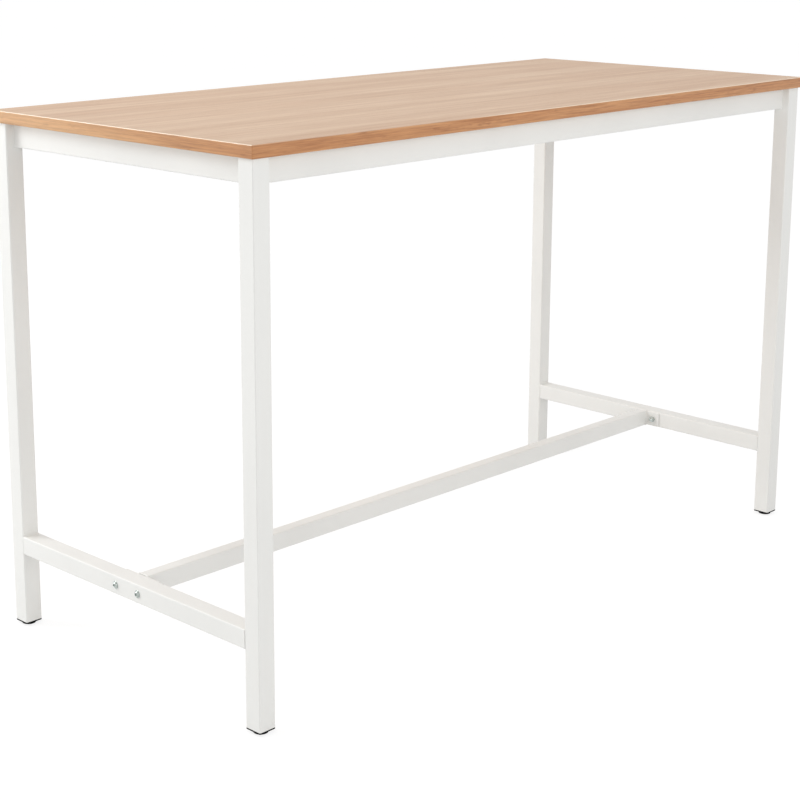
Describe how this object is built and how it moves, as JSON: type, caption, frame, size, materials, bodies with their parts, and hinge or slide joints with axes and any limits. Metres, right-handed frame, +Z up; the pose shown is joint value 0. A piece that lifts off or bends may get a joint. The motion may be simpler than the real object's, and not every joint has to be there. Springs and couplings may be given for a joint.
{
  "type": "standing meeting table",
  "caption": "Tall rectangular standing meeting table with a wood-effect top, white square-tube steel legs, an H-shaped low stretcher that serves as a foot rail, and black levelling feet.",
  "frame": {"origin": "On the floor, under the middle of the table top", "axes": "+X along the table's length, +Y across its depth from the front to the back, +Z up"},
  "size_m": [1.8, 0.8, 1.115],
  "materials": {
    "wood_face": "light beech-effect coated board, satin",
    "wood_band": "wood-effect plastic edge band, darker than the face, satin",
    "white_coat": "white powder coat on steel, semi-gloss",
    "zinc": "zinc-plated steel fasteners",
    "black_plastic": "black moulded plastic"
  },
  "bodies": {
    "table": {"brace_bolt_back_left": "zinc", "brace_bolt_back_right": "zinc", "brace_bolt_front_left": "zinc", "brace_bolt_front_right": "zinc", "corner_brace_back_left": "white_coat", "corner_brace_back_right": "white_coat", "corner_brace_front_left": "white_coat", "corner_brace_front_right": "white_coat", "edge_band_back": "wood_band", "edge_band_front": "wood_band", "edge_band_left": "wood_band", "edge_band_right": "wood_band", "end_rail_left": "white_coat", "end_rail_right": "white_coat", "end_stretcher_left": "white_coat", "end_stretcher_right": "white_coat", "leg_back_left": "white_coat", "leg_back_right": "white_coat", "leg_front_left": "white_coat", "leg_front_right": "white_coat", "leg_insert_back_left": "black_plastic", "leg_insert_back_right": "black_plastic", "leg_insert_front_left": "black_plastic", "leg_insert_front_right": "black_plastic", "long_rail_back": "white_coat", "long_rail_front": "white_coat", "long_stretcher": "white_coat", "stretcher_bolt_left_back": "zinc", "stretcher_bolt_left_front": "zinc", "stretcher_bolt_right_back": "zinc", "stretcher_bolt_right_front": "zinc", "stretcher_nut_left_back": "zinc", "stretcher_nut_left_front": "zinc", "stretcher_nut_right_back": "zinc", "stretcher_nut_right_front": "zinc", "stretcher_plate_left": "white_coat", "stretcher_plate_right": "white_coat", "table_top": "wood_face", "top_lug_back_left": "white_coat", "top_lug_back_middle": "white_coat", "top_lug_back_right": "white_coat", "top_lug_front_left": "white_coat", "top_lug_front_middle": "white_coat", "top_lug_front_right": "white_coat", "top_screw_back_left": "zinc", "top_screw_back_middle": "zinc", "top_screw_back_right": "zinc", "top_screw_front_left": "zinc", "top_screw_front_middle": "zinc", "top_screw_front_right": "zinc"},
    "foot_front_left": {"foot_pad_front_left": "black_plastic", "foot_stud_front_left": "zinc"},
    "foot_front_right": {"foot_pad_front_right": "black_plastic", "foot_stud_front_right": "zinc"},
    "foot_back_left": {"foot_pad_back_left": "black_plastic", "foot_stud_back_left": "zinc"},
    "foot_back_right": {"foot_pad_back_right": "black_plastic", "foot_stud_back_right": "zinc"}
  },
  "joints": [
    {"name": "level_front_left", "type": "slide", "parent": "table", "child": "foot_front_left", "axis": [0, 0, -1], "range_m": [0, 0.012]},
    {"name": "level_front_right", "type": "slide", "parent": "table", "child": "foot_front_right", "axis": [0, 0, -1], "range_m": [0, 0.012]},
    {"name": "level_back_left", "type": "slide", "parent": "table", "child": "foot_back_left", "axis": [0, 0, -1], "range_m": [0, 0.012]},
    {"name": "level_back_right", "type": "slide", "parent": "table", "child": "foot_back_right", "axis": [0, 0, -1], "range_m": [0, 0.012]}
  ]
}
